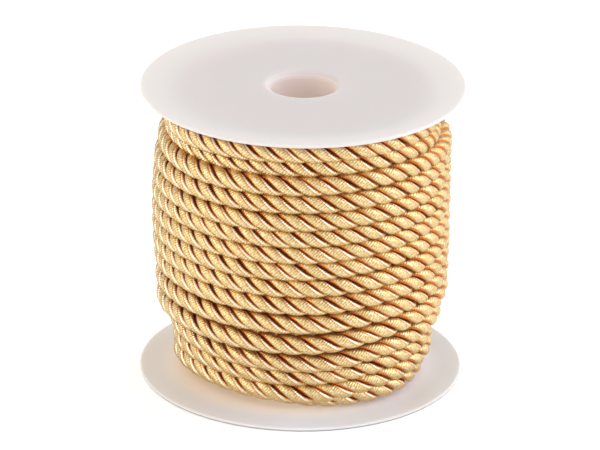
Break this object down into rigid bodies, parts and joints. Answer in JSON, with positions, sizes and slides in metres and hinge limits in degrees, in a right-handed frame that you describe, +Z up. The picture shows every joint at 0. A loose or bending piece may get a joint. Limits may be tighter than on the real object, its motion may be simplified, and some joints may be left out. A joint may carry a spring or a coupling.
{
  "type": "twisted cord on a spool",
  "caption": "Gold satin twisted cord wound in close turns on a white plastic spool with thin round flanges and an open centre bore.",
  "frame": {"origin": "centre of the spool's axis on the underside of the lower flange", "axes": "+Z up along the spool's axis; -Y faces the viewer, where the lowest turn comes out; +X to the viewer's right"},
  "size_m": [0.086, 0.086, 0.0812],
  "materials": {
    "cord": "gold satin yarn with a soft sheen",
    "spool_plastic": "milky white, slightly translucent, satin"
  },
  "bodies": {
    "root": {"cord_winding": "cord", "spool_bottom": "spool_plastic", "spool_top": "spool_plastic"}
  },
  "joints": []
}
